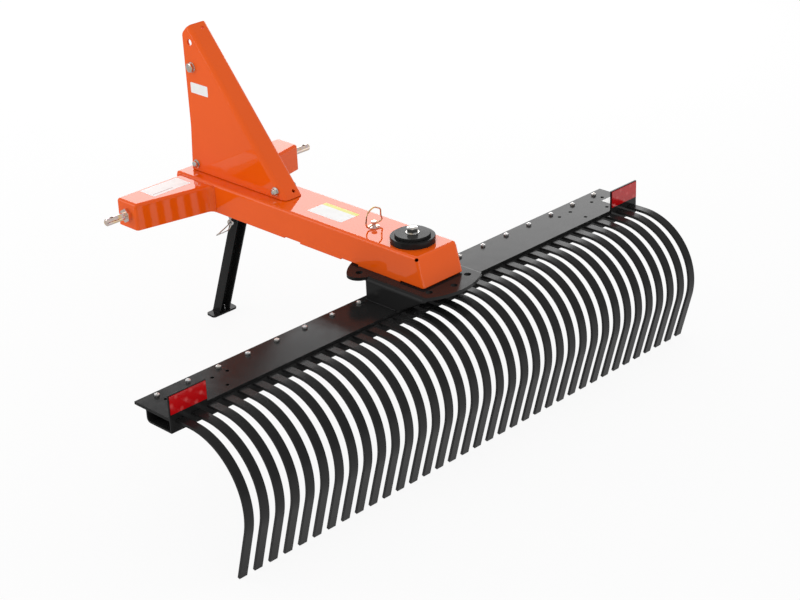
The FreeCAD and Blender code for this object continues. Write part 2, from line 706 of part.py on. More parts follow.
def stand_leg():
    """Channel leg, open to the rear, rounded behind the pin and square against its stop."""
    half = leg_d / 2
    down = foot_level(0)
    top = beam_z - face_gap
    front = on_leg(0, half)
    up_front = (front[0] - (top - front[1]) * math.tan(math.radians(stand_lean)), top)
    crown = on_leg(-half, 0)
    crown_side = (up_front[0] - half / 2, top)
    x0 = -leg_w / 2
    low = down + leg_d
    outline = [Vector(x0, *p) for p in (on_leg(low, half), up_front, crown_side)]
    edges = [line(outline[0], outline[1]), line(outline[1], outline[2]),
             line(outline[2], Vector(x0, *crown)),
             arc(Vector(x0, *crown), Vector(x0, *on_leg(-half * math.sin(math.pi / 4),
                                                        -half * math.cos(math.pi / 4))),
                 Vector(x0, *on_leg(0, -half))),
             line(Vector(x0, *on_leg(0, -half)), Vector(x0, *on_leg(low, -half))),
             line(Vector(x0, *on_leg(low, -half)), outline[0])]
    leg = face_of(edges).extrude(RIGHT * leg_w)
    inner = leg_w / 2 - leg_t
    hollow = prism_x([on_leg(-leg_d, half - leg_t), on_leg(low + 1, half - leg_t),
                      on_leg(low + 1, -leg_d), on_leg(-leg_d, -leg_d)], -inner, inner)
    ground = from_floor(box(-leg_w, leg_w, 0, 2 * hitch_y, -leg_w - leg_d, foot_t))
    leg = leg.cut([hollow, ground, rod(stand_pin_d + 2 * fit_gap, (-leg_w, stand_pin_y, stand_pin_z),
                                       RIGHT, 2 * leg_w)])
    notch = on_leg(foot_level(leg_notch_h), leg_notch_out)
    return leg.cut(rod(leg_notch_d, (inner, *notch), RIGHT, leg_w))


def stand_foot():
    axis_y, axis_z = on_leg(foot_level(foot_t), 0)
    floor_y = axis_y * math.cos(tilt) + axis_z * math.sin(tilt) - foot_back
    foot = box(-foot_w / 2, foot_w / 2, floor_y - foot_d / 2, floor_y + foot_d / 2, 0, foot_t)
    foot = foot.makeFillet(foot_r, edges_where(foot, lambda e: along(e, UP)))
    return from_floor(foot)


def stand_bracket():
    """Base plate inside the beam, with two lugs below it that hold the leg's pin."""
    half = half_beam - steel_t
    y0, y1 = stand_pin_y - stand_base_l / 2, stand_pin_y + stand_base_l / 2
    parts = [box(-half, half, y0, y1, beam_z, beam_z + steel_t)]
    inner = leg_w / 2 + stand_side_gap
    for side in (-1, 1):
        low, high = sorted((side * inner, side * (inner + stand_lug_t)))
        parts.append(box(low, high, stand_pin_y - stand_lug_d / 2, stand_pin_y + stand_lug_d / 2,
                         stand_pin_z, beam_z + 1))
        parts.append(rod(stand_lug_d, (low, stand_pin_y, stand_pin_z), RIGHT, stand_lug_t))
    bracket = fuse_all(parts)
    return bracket.cut(rod(stand_pin_d + 2 * fit_gap, (-half, stand_pin_y, stand_pin_z), RIGHT, 2 * half))


def stand_pin():
    reach = leg_w / 2 + stand_side_gap + stand_lug_t
    pin = rod(stand_pin_d, (-reach - stand_pin_end, stand_pin_y, stand_pin_z), RIGHT,
              2 * reach + stand_pin_end)
    head = rod(stand_pin_head_d, (reach, stand_pin_y, stand_pin_z), RIGHT, stand_pin_head_h)
    return fuse_all([pin, head])


# ---- assembly ----------------------------------------------------------------------------

def build():
    disc_z = beam_top_z + face_gap
    nodes = {
        "beam_channel": beam_channel(),
        "beam_bottom_plate": beam_bottom_plate(),
        "pivot_sleeve": pivot_sleeve(),
        "hitch_arm_left": hitch_arm(-1),
        "hitch_arm_right": hitch_arm(1),
        "lower_pin_left": lower_pin(-1),
        "lower_pin_right": lower_pin(1),
        "mast": mast(),
        "mast_lugs": mast_lugs(),
        "mast_bolts": mast_bolts(),
        "mast_spacer": mast_spacer(),
        "index_pin": index_pin(),
        "stand_bracket": stand_bracket(),
        "stand_pin": stand_pin(),
        "saddle": saddle(),
        "pivot_post": pivot_post(),
        "pivot_disc_large": pivot_disc(disc_large_d, disc_large_t, disc_z),
        "pivot_disc_small": pivot_disc(disc_small_d, disc_small_t, disc_z + disc_large_t),
        "pivot_bolt": pivot_bolt(disc_z + disc_large_t + disc_small_t),
        "rake_plate": rake_plate(),
        "rake_channel": rake_channel(),
        "rake_rear_plate": rake_rear_plate(),
        "reflector_left": reflector(-1),
        "reflector_right": reflector(1),
        "tine_bolts": tine_bolts(),
        "stand_leg": stand_leg(),
        "stand_foot": stand_foot(),
    }
    for index in range(pair_count):
        nodes[f"tine_pair_{index + 1:02d}"] = tine_pair(index)
    return nodes


def parked(shape):
    """Tip the level piece onto the floor and move it to the part's origin."""
    tip = Placement(Vector(0, 0, 0), Rotation(RIGHT, -park_tilt))
    shift = Placement(Vector(0, -origin_y, 0), Rotation())
    shape = shape.copy()
    shape.Placement = shift.multiply(tip).multiply(shape.Placement)
    return shape


os.makedirs("parts", exist_ok=True)
for node, shape in build().items():
    parked(shape).exportStep(f"parts/{node}.step")
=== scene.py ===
import json
import math

import bmesh
import bpy
from mathutils import Matrix, Vector


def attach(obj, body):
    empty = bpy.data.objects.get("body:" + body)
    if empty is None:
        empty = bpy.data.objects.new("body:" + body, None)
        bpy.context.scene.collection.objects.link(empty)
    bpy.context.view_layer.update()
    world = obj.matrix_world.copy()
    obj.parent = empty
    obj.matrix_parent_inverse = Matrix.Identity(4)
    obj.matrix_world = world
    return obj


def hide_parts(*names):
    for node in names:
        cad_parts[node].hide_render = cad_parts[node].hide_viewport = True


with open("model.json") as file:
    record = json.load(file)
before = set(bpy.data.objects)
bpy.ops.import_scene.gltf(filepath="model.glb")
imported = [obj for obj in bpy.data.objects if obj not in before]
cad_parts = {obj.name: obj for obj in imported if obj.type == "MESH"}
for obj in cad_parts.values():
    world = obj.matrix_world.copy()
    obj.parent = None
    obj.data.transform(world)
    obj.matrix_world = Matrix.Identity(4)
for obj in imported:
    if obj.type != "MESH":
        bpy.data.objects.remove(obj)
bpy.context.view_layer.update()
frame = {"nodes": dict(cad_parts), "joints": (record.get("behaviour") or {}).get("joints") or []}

# ---- Level frame of the machine ----------------------------------------------------------
# The machine parks nose down. Sizes below are written level, in mm, in the part's own axes:
# x to the right, y forward, z up from the tine tips. at() gives the place in the row frame.

swing = next(j for j in frame["joints"] if j["name"] == "rake_swing")
PIVOT = Vector(swing["pos_m"])
UP = Vector(swing["axis"]).normalized()
RIGHT = Vector((1, 0, 0))
FORWARD = UP.cross(RIGHT)
PIVOT_Y, BEAM_Z, BEAM_TOP = 250.0, 458.03, 547.03


def at(x, y, z):
    return PIVOT + (RIGHT * x + FORWARD * (y - PIVOT_Y) + UP * (z - BEAM_Z)) / 1000


# ---- Orange powder coat ------------------------------------------------------------------
# Beam, arms, mast and lugs are folded 6 mm steel with one glossy powder coat. It has a fine
# orange peel, is thinner on sharp edges and is hardly worn.


def make(tree, kind, sockets=None, **settings):
    """Adds a node. Settings are its properties; sockets are inputs by name or number."""
    node = tree.nodes.new(kind)
    for key, value in settings.items():
        setattr(node, key, value)
    for key, value in (sockets or {}).items():
        if isinstance(value, bpy.types.NodeSocket):
            tree.links.new(value, node.inputs[key])
        else:
            node.inputs[key].default_value = value
    return node


def group(name, inputs, outputs):
    """Empty shader group. Inputs are (name, default); a tuple is a colour, a number a value."""
    tree = bpy.data.node_groups.new(name, "ShaderNodeTree")
    for key, value in inputs:
        kind = "NodeSocketColor" if isinstance(value, tuple) else "NodeSocketFloat"
        tree.interface.new_socket(key, in_out="INPUT", socket_type=kind).default_value = value
    for key, kind in outputs:
        tree.interface.new_socket(key, in_out="OUTPUT", socket_type="NodeSocket" + kind)
    return tree, tree.nodes.new("NodeGroupInput").outputs, tree.nodes.new("NodeGroupOutput").inputs


def blend_colour(tree, factor, a, b):
    node = make(tree, "ShaderNodeMix", {0: factor, 6: a, 7: b}, data_type="RGBA")
    return node.outputs[2]


def spread(tree, value, low, high, out_low, out_high):
    node = make(tree, "ShaderNodeMapRange", {0: value, 1: low, 2: high, 3: out_low, 4: out_high})
    return node.outputs[0]


def math_node(tree, operation, a, b):
    return make(tree, "ShaderNodeMath", {0: a, 1: b}, operation=operation).outputs[0]


def noise(tree, where, scale, detail=2.0, rough=0.5):
    return make(tree, "ShaderNodeTexNoise", {"Vector": where, "Scale": scale, "Detail": detail,
                                             "Roughness": rough}).outputs[0]


def empty_material(name):
    material = bpy.data.materials.new(name)
    material.use_nodes = True
    material.node_tree.nodes.clear()
    return material, material.node_tree


def surface(tree, sockets):
    """Ends a material in one Principled shader."""
    shader = make(tree, "ShaderNodeBsdfPrincipled", sockets)
    make(tree, "ShaderNodeOutputMaterial", {"Surface": shader.outputs[0]})


def finished(tree, shared, settings, strength, depth):
    """Shared finish with its own values, and its bump of that depth in metres."""
    finish = make(tree, "ShaderNodeGroup", node_tree=shared)
    for key, value in settings.items():
        finish.inputs[key].default_value = value
    bump = make(tree, "ShaderNodeBump", {"Strength": strength, "Distance": depth,
                                         "Height": finish.outputs["Height"],
                                         "Normal": finish.outputs["Normal"]})
    return finish.outputs, bump.outputs[0]


coat, given, out = group("Coated steel",
                         [("Paint", (0.8, 0.1, 0.0, 1.0)), ("Shade", (0.7, 0.08, 0.0, 1.0)),
                          ("Bare", (0.4, 0.38, 0.36, 1.0)), ("Roughness", 0.2), ("Wear", 0.3),
                          ("Round mm", 1.2)],
                         [("Color", "Color"), ("Roughness", "Float"), ("Metallic", "Float"),
                          ("Height", "Float"), ("Normal", "Vector")])
where = make(coat, "ShaderNodeTexCoord").outputs["Object"]
radius = math_node(coat, "MULTIPLY", given["Round mm"], 0.001)
rounded = make(coat, "ShaderNodeBevel", {"Radius": radius}, samples=6).outputs[0]
flat = make(coat, "ShaderNodeNewGeometry").outputs["Normal"]
facing = make(coat, "ShaderNodeVectorMath", {0: rounded, 1: flat},
              operation="DOT_PRODUCT").outputs["Value"]
edge = spread(coat, facing, 0.97, 0.80, 0.0, 1.0)
chips = spread(coat, noise(coat, where, 90.0, 6.0, 0.7), 0.56, 0.66, 0.0, 1.0)
worn = math_node(coat, "MULTIPLY", math_node(coat, "MULTIPLY", edge, chips), given["Wear"])
cloud = spread(coat, noise(coat, where, 5.0, 4.0), 0.35, 0.65, 0.0, 1.0)
painted = blend_colour(coat, cloud, given["Paint"], given["Shade"])
coat.links.new(blend_colour(coat, worn, painted, given["Bare"]), out["Color"])
varied = spread(coat, noise(coat, where, 24.0, 3.0), 0.3, 0.7, 0.8, 1.2)
rough = math_node(coat, "MULTIPLY", given["Roughness"], varied)
scuffed = math_node(coat, "MULTIPLY", worn, 0.25)
coat.links.new(math_node(coat, "ADD", rough, scuffed), out["Roughness"])
coat.links.new(worn, out["Metallic"])
coat.links.new(math_node(coat, "SUBTRACT", noise(coat, where, 330.0, 1.5), worn), out["Height"])
coat.links.new(rounded, out["Normal"])


def coated(name, settings, peel, ior=1.5):
    """Material of the shared coat. Peel is the depth of its orange peel in mm."""
    material, tree = empty_material(name)
    finish, bump = finished(tree, coat, settings, 1.0, peel / 1000)
    surface(tree, {"Base Color": finish["Color"], "Roughness": finish["Roughness"],
                   "Metallic": finish["Metallic"], "IOR": ior, "Normal": bump})
    return material


def dress(material, *nodes):
    """Gives CAD nodes their material."""
    for name in nodes:
        for slot in frame["nodes"][name].material_slots:
            slot.material = material


orange = coated("orange_coat", {"Paint": (0.87, 0.108, 0.004, 1), "Shade": (0.84, 0.102, 0.003, 1),
                                "Bare": (0.55, 0.14, 0.05, 1), "Roughness": 0.02, "Wear": 0.3,
                                "Round mm": 1.6}, peel=0.008, ior=1.4)
dress(orange, "beam_channel", "beam_bottom_plate", "pivot_sleeve", "hitch_arm_left",
      "hitch_arm_right", "mast", "mast_lugs")

# ---- Welds of beam and arms --------------------------------------------------------------
# The arms are joined to the beam by fillet welds, laid by hand and painted over with the
# rest. Each bead is a row of overlapping scales in the corner between the two plates.


def tool(name, sizes):
    """Empty Geometry Nodes tree with a geometry input, a geometry output and named inputs."""
    tree = bpy.data.node_groups.new(name, "GeometryNodeTree")
    for way in ("INPUT", "OUTPUT"):
        tree.interface.new_socket("Geometry", in_out=way, socket_type="NodeSocketGeometry")
    for key, kind in sizes:
        tree.interface.new_socket(key, in_out="INPUT", socket_type="NodeSocket" + kind)
    return tree, tree.nodes.new("NodeGroupInput").outputs, tree.nodes.new("NodeGroupOutput").inputs


def worked(mesh, tree, values):
    """Plain mesh that the tree makes from another mesh."""
    carrier = bpy.data.objects.new("carrier", mesh)
    bpy.context.scene.collection.objects.link(carrier)
    modifier = carrier.modifiers.new("work", "NODES")
    modifier.node_group = tree
    for item in tree.interface.items_tree:
        if item.in_out == "INPUT" and item.name in values:
            modifier[item.identifier] = values[item.name]
    now = bpy.context.evaluated_depsgraph_get()
    made = bpy.data.meshes.new_from_object(carrier.evaluated_get(now))
    carrier.modifiers.remove(modifier)
    bpy.data.objects.remove(carrier)
    return made


SHARP = math.radians(32)


def piece(name, mesh, body, stands_for=()):
    """Finished mesh as a piece of that body, smooth but for its sharp edges."""
    mesh.name = name
    mesh.polygons.foreach_set("use_smooth", [True] * len(mesh.polygons))
    mesh.set_sharp_from_angle(angle=SHARP)
    made = bpy.data.objects.new(name, mesh)
    bpy.context.scene.collection.objects.link(made)
    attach(made, body)
    if stands_for:
        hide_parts(*stands_for)
    return made


def seams(paths):
    """Mesh of open lines, given as lists of level points in mm."""
    points, edges = [], []
    for path in paths:
        edges += [(len(points) + k, len(points) + k + 1) for k in range(len(path) - 1)]
        points += [at(*p) for p in path]
    mesh = bpy.data.meshes.new("seams")
    mesh.from_pydata(points, edges, [])
    return mesh


bead, size, made = tool("weld_bead", [("Width", "Float"), ("Ripple", "Float"), ("Seed", "Int"),
                                      ("Finish", "Material")])
line = make(bead, "GeometryNodeMeshToCurve", {"Mesh": size["Geometry"]})
steps = make(bead, "GeometryNodeCurveToPoints",
             {"Curve": line.outputs[0], "Length": size["Ripple"]}, mode="LENGTH")
scale = make(bead, "GeometryNodeMeshUVSphere", {"Segments": 8, "Rings": 5, "Radius": 1.0})
uneven = make(bead, "FunctionNodeRandomValue", {2: 0.88, 3: 1.12, "Seed": size["Seed"]},
              data_type="FLOAT")
half = math_node(bead, "MULTIPLY", size["Width"], 0.5)
across = math_node(bead, "MULTIPLY", half, uneven.outputs[1])
along = math_node(bead, "MULTIPLY", size["Ripple"], 0.95)
form = make(bead, "ShaderNodeCombineXYZ", {0: across, 1: across, 2: along})
row = make(bead, "GeometryNodeInstanceOnPoints",
           {"Points": steps.outputs["Points"], "Instance": scale.outputs["Mesh"],
            "Rotation": steps.outputs["Rotation"], "Scale": form.outputs[0]})
whole = make(bead, "GeometryNodeRealizeInstances", {"Geometry": row.outputs[0]})
painted = make(bead, "GeometryNodeSetMaterial",
               {"Geometry": whole.outputs[0], "Material": size["Finish"]})
bead.links.new(painted.outputs[0], made["Geometry"])


def laid(paths, width, ripple, seed, finish):
    """Beads along level paths, with their width and the step of their scales in mm."""
    return worked(seams(paths), bead, {"Width": width / 1000, "Ripple": ripple / 1000, "Seed": seed,
                                       "Finish": finish})


BEAM_SIDE, ARM_TOP, ARM_FRONT, ARM_ROOT = 79.0, 540.7, 1166.0, 1006.0
LOW_END, HIGH_END = BEAM_Z + 3, ARM_TOP - 2
paths = []
for side in (-1, 1):
    x = side * (BEAM_SIDE + 1.0)
    paths.append([(x, y, ARM_TOP + 0.5) for y in (ARM_ROOT + 4, ARM_FRONT - 3)])
    for y in (ARM_ROOT, ARM_FRONT + 0.5):
        paths.append([(x, y, LOW_END), (x, y, HIGH_END)])
piece("frame_welds", laid(paths, 5.5, 3.0, 4, orange), "frame")

# ---- Black coat of the rake head and stand -----------------------------------------------
# Saddle, pivot discs, rake plate, channel, tines and the leg have a satin black powder coat,
# a little coarser than the orange one. The tines are sprayed over rolled spring steel.

black = coated("black_coat", {"Paint": (0.015, 0.015, 0.015, 1), "Shade": (0.012, 0.012, 0.012, 1),
                              "Bare": (0.07, 0.065, 0.06, 1), "Roughness": 0.18, "Wear": 0.35,
                              "Round mm": 1.0}, peel=0.012, ior=1.2)
dress(black, "saddle", "pivot_post", "pivot_disc_large", "pivot_disc_small", "rake_plate",
      "rake_channel", "rake_rear_plate", "stand_leg", "stand_foot", "stand_bracket")
spring = coated("tine_coat", {"Paint": (0.017, 0.017, 0.017, 1), "Shade": (0.013, 0.013, 0.013, 1),
                              "Bare": (0.08, 0.075, 0.07, 1), "Roughness": 0.26, "Wear": 0.45,
                              "Round mm": 1.2}, peel=0.015, ior=1.22)
dress(spring, *[name for name in frame["nodes"] if name.startswith("tine_pair")])

# ---- Welds of the rake head --------------------------------------------------------------
# The saddle's flanges and the reflector posts are welded to the rake plate, and the leg to its
# foot. The beads are narrow and lie under the black coat.

RAKE_TOP, PLATE_REAR, FLANGE_FRONT = 391.33, 200.9, 319.0
SADDLE_SIDE, FLANGE_T, RAKE_END, POST_W = 120.0, 9.5, 919.2, 120.0
paths = []
for side in (-1, 1):
    for x in (SADDLE_SIDE + 1.0, SADDLE_SIDE - FLANGE_T - 1.0):
        paths.append([(side * x, y, RAKE_TOP + 1) for y in (PLATE_REAR + 6, FLANGE_FRONT)])
    paths.append([(side * x, PLATE_REAR + 0.8, RAKE_TOP + 0.8)
                  for x in (RAKE_END - 3, RAKE_END - POST_W + 3)])
piece("rake_welds", laid(paths, 5.0, 2.8, 7, black), "rake")
LEG_SIDE, HEEL, TOE = 22.2, (1107.8, 67.9), (1138.3, 69.7)
around = [(-LEG_SIDE, *HEEL), (-LEG_SIDE, *TOE), (LEG_SIDE, *TOE), (LEG_SIDE, *HEEL)]
piece("stand_weld", laid([around], 5.0, 2.8, 2, black), "stand")

# ---- Zinc plated fasteners and pins ------------------------------------------------------
# Bolts, nuts and washers are forged steel with bright zinc, cloudy and marked by handling. The
# hitch pins are turned, and their zinc is yellow passivated, which shows as a tint in places.

plate, given, out = group("Zinc plate",
                          [("Zinc", (0.66, 0.63, 0.57, 1.0)), ("Cloud", (0.54, 0.54, 0.55, 1.0)),
                           ("Tint", (0.70, 0.55, 0.36, 1.0)), ("Roughness", 0.13)],
                          [("Color", "Color"), ("Roughness", "Float"), ("Height", "Float"),
                           ("Normal", "Vector")])
where = make(plate, "ShaderNodeTexCoord").outputs["Object"]
cloud = spread(plate, noise(plate, where, 120.0, 4.0), 0.35, 0.65, 0.0, 1.0)
bright = blend_colour(plate, cloud, given["Zinc"], given["Cloud"])
stain = spread(plate, noise(plate, where, 45.0, 2.0), 0.5, 0.72, 0.0, 0.7)
plate.links.new(blend_colour(plate, stain, bright, given["Tint"]), out["Color"])
varied = spread(plate, noise(plate, where, 300.0, 3.0), 0.3, 0.7, 0.7, 1.3)
plate.links.new(math_node(plate, "MULTIPLY", given["Roughness"], varied), out["Roughness"])
plate.links.new(noise(plate, where, 900.0, 2.0), out["Height"])
rounded = make(plate, "ShaderNodeBevel", {"Radius": 0.0008}, samples=6).outputs[0]
plate.links.new(rounded, out["Normal"])


def plated(name, settings):
    material, tree = empty_material(name)
    finish, bump = finished(tree, plate, settings, 0.3, 0.00002)
    surface(tree, {"Base Color": finish["Color"], "Roughness": finish["Roughness"], "Metallic": 1.0,
                   "Normal": bump})
    return material


zinc = plated("zinc_plate", {})
yellow_zinc = plated("yellow_zinc_plate",
                     {"Zinc": (0.86, 0.72, 0.58, 1), "Cloud": (0.68, 0.56, 0.60, 1),
                      "Tint": (1.00, 0.62, 0.08, 1), "Roughness": 0.07})
dress(zinc, "mast_spacer", "stand_pin")
dress(yellow_zinc, "lower_pin_left", "lower_pin_right")

# ---- Hexagon bolts -----------------------------------------------------------------------
# Forged hexagon bolts with chamfered heads, pressed washers and cut threads clamp the mast,
# hold each pair of tines and cap the pivot. All are zinc plated, the tine bolts duller, and
# done up by hand, so their flats stand at any angle.

SIDES = 36
THREAD = 1.5


def ring(radius, height):
    return [(radius, height)] * SIDES


def hex_ring(across, height, inset=0.0, slope=0.0):
    """Ring round a hexagon. Past the inset circle it falls with that slope, as a chamfer does."""
    points = []
    for k in range(SIDES):
        turn = (2 * math.pi * k / SIDES + math.pi / 6) % (math.pi / 3) - math.pi / 6
        radius = across / 2 / math.cos(turn)
        points.append((radius, height - slope * max(0.0, radius - inset)))
    return points


def turned(shape, rows):
    """Closed skin through rings of (radius, height) about Z, from the lowest up, in mm."""
    loops = []
    for points in rows:
        loops.append([shape.verts.new((r * math.cos(2 * math.pi * k / SIDES),
                                       r * math.sin(2 * math.pi * k / SIDES), z))
                      for k, (r, z) in enumerate(points)])
    for low, high in zip(loops, loops[1:]):
        for k in range(SIDES):
            after = (k + 1) % SIDES
            shape.faces.new((low[k], low[after], high[after], high[k]))
    shape.faces.new(loops[0][::-1])
    shape.faces.new(loops[-1])


def washer(shape, width, low, high):
    radius, rim = width / 2, min(0.5, (high - low) / 3)
    turned(shape, [ring(radius - rim, low), ring(radius, low + rim), ring(radius, high - rim),
                   ring(radius - rim, high)])


def bolt(name, shank, across, head, disc, thick, grip, nut=0.0, tail=0.0, cap=0.0, rise=0.0):
    """Hexagon on the Z axis over plates that fill 0 down to -grip, with a nut or a low cap below.
    Sizes are in mm: across is the hexagon's flats and head its height, disc and thick are the
    washer's. The shank stands out of the nut by its tail, and out of the hexagon by its rise."""
    shape = bmesh.new()
    inset, chamfer = 0.465 * across, 0.577
    washer(shape, disc, 0.0, thick)
    turned(shape, [hex_ring(across, thick), hex_ring(across, thick + head, inset, chamfer),
                   ring(inset, thick + head)])
    end = -grip
    if nut:
        washer(shape, disc, -grip - thick, -grip)
        low = -grip - thick - nut
        turned(shape, [ring(inset, low), hex_ring(across, low, inset, -chamfer),
                       hex_ring(across, low + nut, inset, chamfer), ring(inset, low + nut)])
        end = low - tail
    if cap:
        turned(shape, [ring(0.35 * shank, -grip - cap), ring(0.6 * shank, -grip - 0.7 * cap),
                       ring(0.78 * shank, -grip)])
    radius = shank / 2
    rows = [ring(radius - 1.0, end), ring(radius - 0.2, end + 0.8)]
    for k in range(int(tail / THREAD)):
        rows += [ring(radius - 0.7, end + 1.2 + THREAD * k), ring(radius, end + 1.9 + THREAD * k)]
    top = thick + head + rise
    turned(shape, rows + [ring(radius, top - 1.5), ring(radius - 1.2, top + 1.0)])
    bmesh.ops.scale(shape, verts=shape.verts, vec=(0.001, 0.001, 0.001))
    mesh = bpy.data.meshes.new(name)
    shape.to_mesh(mesh)
    shape.free()
    mesh.set_sharp_from_angle(angle=SHARP)
    made = bpy.data.objects.new(name, mesh)
    bpy.context.scene.collection.objects.link(made)
    return made


done_up, size, made = tool("done_up_fasteners",
                           [("Fastener", "Object"), ("Axis", "Vector"), ("Turn", "Float"),
                            ("Seed", "Int"), ("Finish", "Material")])
form = make(done_up, "GeometryNodeObjectInfo", {"Object": size["Fastener"], "As Instance": True})
upright = make(done_up, "FunctionNodeAlignRotationToVector", {"Vector": size["Axis"]}, axis="Z")
angle = make(done_up, "FunctionNodeRandomValue", {2: 0.0, 3: size["Turn"], "Seed": size["Seed"]},
             data_type="FLOAT")
spin = make(done_up, "FunctionNodeAxisAngleToRotation",
            {"Axis": (0, 0, 1), "Angle": angle.outputs[1]})
seated = make(done_up, "FunctionNodeRotateRotation", {0: upright.outputs[0], 1: spin.outputs[0]},
              rotation_space="LOCAL")
row = make(done_up, "GeometryNodeInstanceOnPoints",
           {"Points": size["Geometry"], "Instance": form.outputs["Geometry"],
            "Rotation": seated.outputs[0]})
whole = make(done_up, "GeometryNodeRealizeInstances", {"Geometry": row.outputs[0]})
zinced = make(done_up, "GeometryNodeSetMaterial",
              {"Geometry": whole.outputs[0], "Material": size["Finish"]})
done_up.links.new(zinced.outputs[0], made["Geometry"])


def bolted(name, fastener, spots, axis, seed, body, node, turn=math.pi / 3, finish=zinc):
    """Fasteners at level spots in mm, in place of a CAD node. Each is turned by up to turn."""
    mesh = bpy.data.meshes.new("spots")
    mesh.from_pydata([at(*spot) for spot in spots], [], [])
    values = {"Fastener": fastener, "Axis": axis, "Turn": turn, "Seed": seed, "Finish": finish}
    piece(name, worked(mesh, done_up, values), body, (node,))
    bpy.data.objects.remove(fastener)


MAST_SIDE, FOOT_BOLT_Z, FOOT_BOLT_YS = 36.0, BEAM_TOP + 23, (775.05, 1133.0)
mast_bolt = bolt("mast_bolt", shank=12.7, across=19.0, head=8.5, disc=28.0, thick=2.5,
                 grip=2 * MAST_SIDE, cap=3.0)
bolted("mast_fasteners", mast_bolt, [(-MAST_SIDE, y, FOOT_BOLT_Z) for y in FOOT_BOLT_YS],
       -RIGHT, 3, "frame", "mast_bolts")
HITCH_Y, UPPER_HOLE_Z, SPACER_DROP = 1117.0, 956.55, 76.2
spacer_bolt = bolt("spacer_bolt", shank=15.9, across=26.5, head=9.5, disc=31.0, thick=1.8,
                   grip=2 * MAST_SIDE, nut=11.0, tail=4.0)
bolted("spacer_fastener", spacer_bolt, [(-MAST_SIDE, HITCH_Y, UPPER_HOLE_Z - SPACER_DROP)],
       -RIGHT, 8, "frame", "mast_bolts")
PAIRS, PAIR_PITCH, BOLT_Y = 18, 101.6, 317.8
dull_zinc = plated("dull_zinc_plate",
                   {"Zinc": (0.82, 0.81, 0.79, 1), "Cloud": (0.74, 0.74, 0.75, 1),
                    "Tint": (0.78, 0.70, 0.60, 1), "Roughness": 0.36})
tine_bolt = bolt("tine_nut", shank=7.9, across=13.2, head=5.6, disc=13.0, thick=0.6, grip=21.8,
                 nut=6.9, tail=3.0, rise=1.4)
bolted("tine_fasteners", tine_bolt,
       [((k - (PAIRS - 1) / 2) * PAIR_PITCH, BOLT_Y, RAKE_TOP) for k in range(PAIRS)],
       UP, 11, "rake", "tine_bolts", finish=dull_zinc)
DISCS_TOP = BEAM_TOP + 26.3
pivot_bolt = bolt("pivot_nut", shank=19.0, across=30.0, head=14.0, disc=39.0, thick=1.7, grip=36.0)
pivot_bolt.data.transform(Matrix.Rotation(math.radians(15.0), 4, "Z"))
bolted("pivot_fastener", pivot_bolt, [(0, PIVOT_Y, DISCS_TOP)], UP, 5, "rake", "pivot_bolt",
       turn=0.0)

# ---- Index pin ---------------------------------------------------------------------------
# Turned drop pin with a collar that rests on the beam and a head to lift it by. A bent wire
# handle goes through a cross hole in its neck. Both are yellow passivated.


def settled(shape, spot, name):
    """Mesh of a shape drawn in mm about a level spot."""
    for vert in shape.verts:
        vert.co = at(*(Vector(spot) + vert.co))
    mesh = bpy.data.meshes.new(name)
    shape.to_mesh(mesh)
    shape.free()
    return mesh


def wire(name, points, width, closed, material):
    """Round wire bent through level points in mm, as a mesh."""
    data = bpy.data.curves.new(name, "CURVE")
    data.dimensions = "3D"
    data.bevel_depth = width / 2000
    data.bevel_resolution = 5
    data.resolution_u = 10
    data.use_fill_caps = not closed
    spline = data.splines.new("BEZIER")
    spline.bezier_points.add(len(points) - 1)
    for knot, spot in zip(spline.bezier_points, points):
        knot.co = at(*spot)
        knot.handle_left_type = knot.handle_right_type = "AUTO"
    spline.use_cyclic_u = closed
    shaft = bpy.data.objects.new(name, data)
    bpy.context.scene.collection.objects.link(shaft)
    now = bpy.context.evaluated_depsgraph_get()
    mesh = bpy.data.meshes.new_from_object(shaft.evaluated_get(now))
    bpy.data.objects.remove(shaft)
    mesh.materials.clear()
    mesh.materials.append(material)
    return mesh


INDEX_Y, PIN_R, PIN_REACH = 402.4, 9.5, 84.0
COLLAR_W, COLLAR_T, NECK_R, HEAD_R, HEAD_TOP = 33.0, 3.0, 5.8, 8.7, 19.0
shape = bmesh.new()
turned(shape, [ring(PIN_R - 2, -PIN_REACH), ring(PIN_R, 3 - PIN_REACH), ring(PIN_R, 0)])
washer(shape, COLLAR_W, 0.0, COLLAR_T)
turned(shape, [ring(NECK_R, 2), ring(NECK_R, 11.5), ring(6.4, 14), ring(8.2, 14.5),
               ring(HEAD_R, 15.5), ring(HEAD_R, 17.6), ring(7.4, HEAD_TOP)])
mesh = settled(shape, (0, INDEX_Y, BEAM_TOP), "index_drop_pin")
mesh.materials.append(yellow_zinc)
piece("index_drop_pin", mesh, "frame", ("index_pin",))
gold_zinc = plated("gold_zinc_plate",
                   {"Zinc": (0.74, 0.46, 0.20, 1), "Cloud": (0.50, 0.32, 0.28, 1),
                    "Tint": (0.90, 0.62, 0.14, 1), "Roughness": 0.06})
HANDLE_WIRE = 4.4
bends = [(0, 555.5), (14, 557), (26.5, 559), (31.5, 562), (31.2, 567), (28.6, 574), (28.2, 585),
         (27.8, 592), (25, 596), (16.5, 601), (5.5, 605.6), (-4, 605), (-14, 600.5), (-25, 591.5),
         (-28.6, 577), (-29.5, 561), (-24, 553.5), (-12, 554)]
handle = wire("index_pin_handle", [(x, INDEX_Y, z) for x, z in bends], HANDLE_WIRE, True, gold_zinc)
piece("index_pin_handle", handle, "frame")

# ---- Linch pin of the stand --------------------------------------------------------------
# A small turned pin with a forged eye locks the stand's hinge pin. Its sprung wire ring goes
# through the eye and hangs to the left of the leg.

